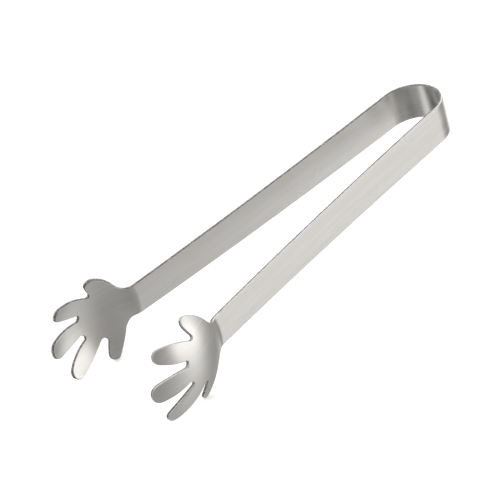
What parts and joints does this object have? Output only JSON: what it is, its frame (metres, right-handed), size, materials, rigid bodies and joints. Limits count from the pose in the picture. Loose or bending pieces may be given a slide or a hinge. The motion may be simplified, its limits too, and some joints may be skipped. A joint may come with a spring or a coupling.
{
  "type": "ice tongs",
  "caption": "Spring ice tongs bent from a strip of brushed stainless steel, with a round bow and a small cupped hand with spread fingers at the end of each arm.",
  "frame": {"origin": "centre of the bounding box at the lowest edge of the hands, with the strip standing on edge", "axes": "+X from the bow to the fingertips, +Y from the right arm to the left arm, +Z across the strip's width toward the thumbs"},
  "size_m": [0.1527, 0.0496, 0.0303],
  "materials": {
    "brushed_steel": "brushed along the strip, tumbled edges"
  },
  "bodies": {
    "bow": {"bow": "brushed_steel"},
    "left_jaw": {"left_arm": "brushed_steel", "left_wrist": "brushed_steel", "left_palm": "brushed_steel", "left_thumb": "brushed_steel", "left_index": "brushed_steel", "left_middle": "brushed_steel", "left_ring": "brushed_steel", "left_little": "brushed_steel"},
    "right_jaw": {"right_arm": "brushed_steel", "right_wrist": "brushed_steel", "right_palm": "brushed_steel", "right_thumb": "brushed_steel", "right_index": "brushed_steel", "right_middle": "brushed_steel", "right_ring": "brushed_steel", "right_little": "brushed_steel"}
  },
  "joints": [
    {"name": "left_flex", "type": "hinge", "parent": "bow", "child": "left_jaw", "pos_m": [-0.04778, 0.01118, 0.0151], "axis": [0, 0, -1], "range_deg": [-3, 9.3], "stiffness_Nm_per_rad": 4.65},
    {"name": "right_flex", "type": "hinge", "parent": "bow", "child": "right_jaw", "pos_m": [-0.04778, -0.01118, 0.0151], "axis": [0, 0, 1], "range_deg": [-3, 9.3], "stiffness_Nm_per_rad": 4.65}
  ],
  "couplings": [
    {"joint": "right_flex", "follows": "left_flex", "ratio": 1}
  ]
}
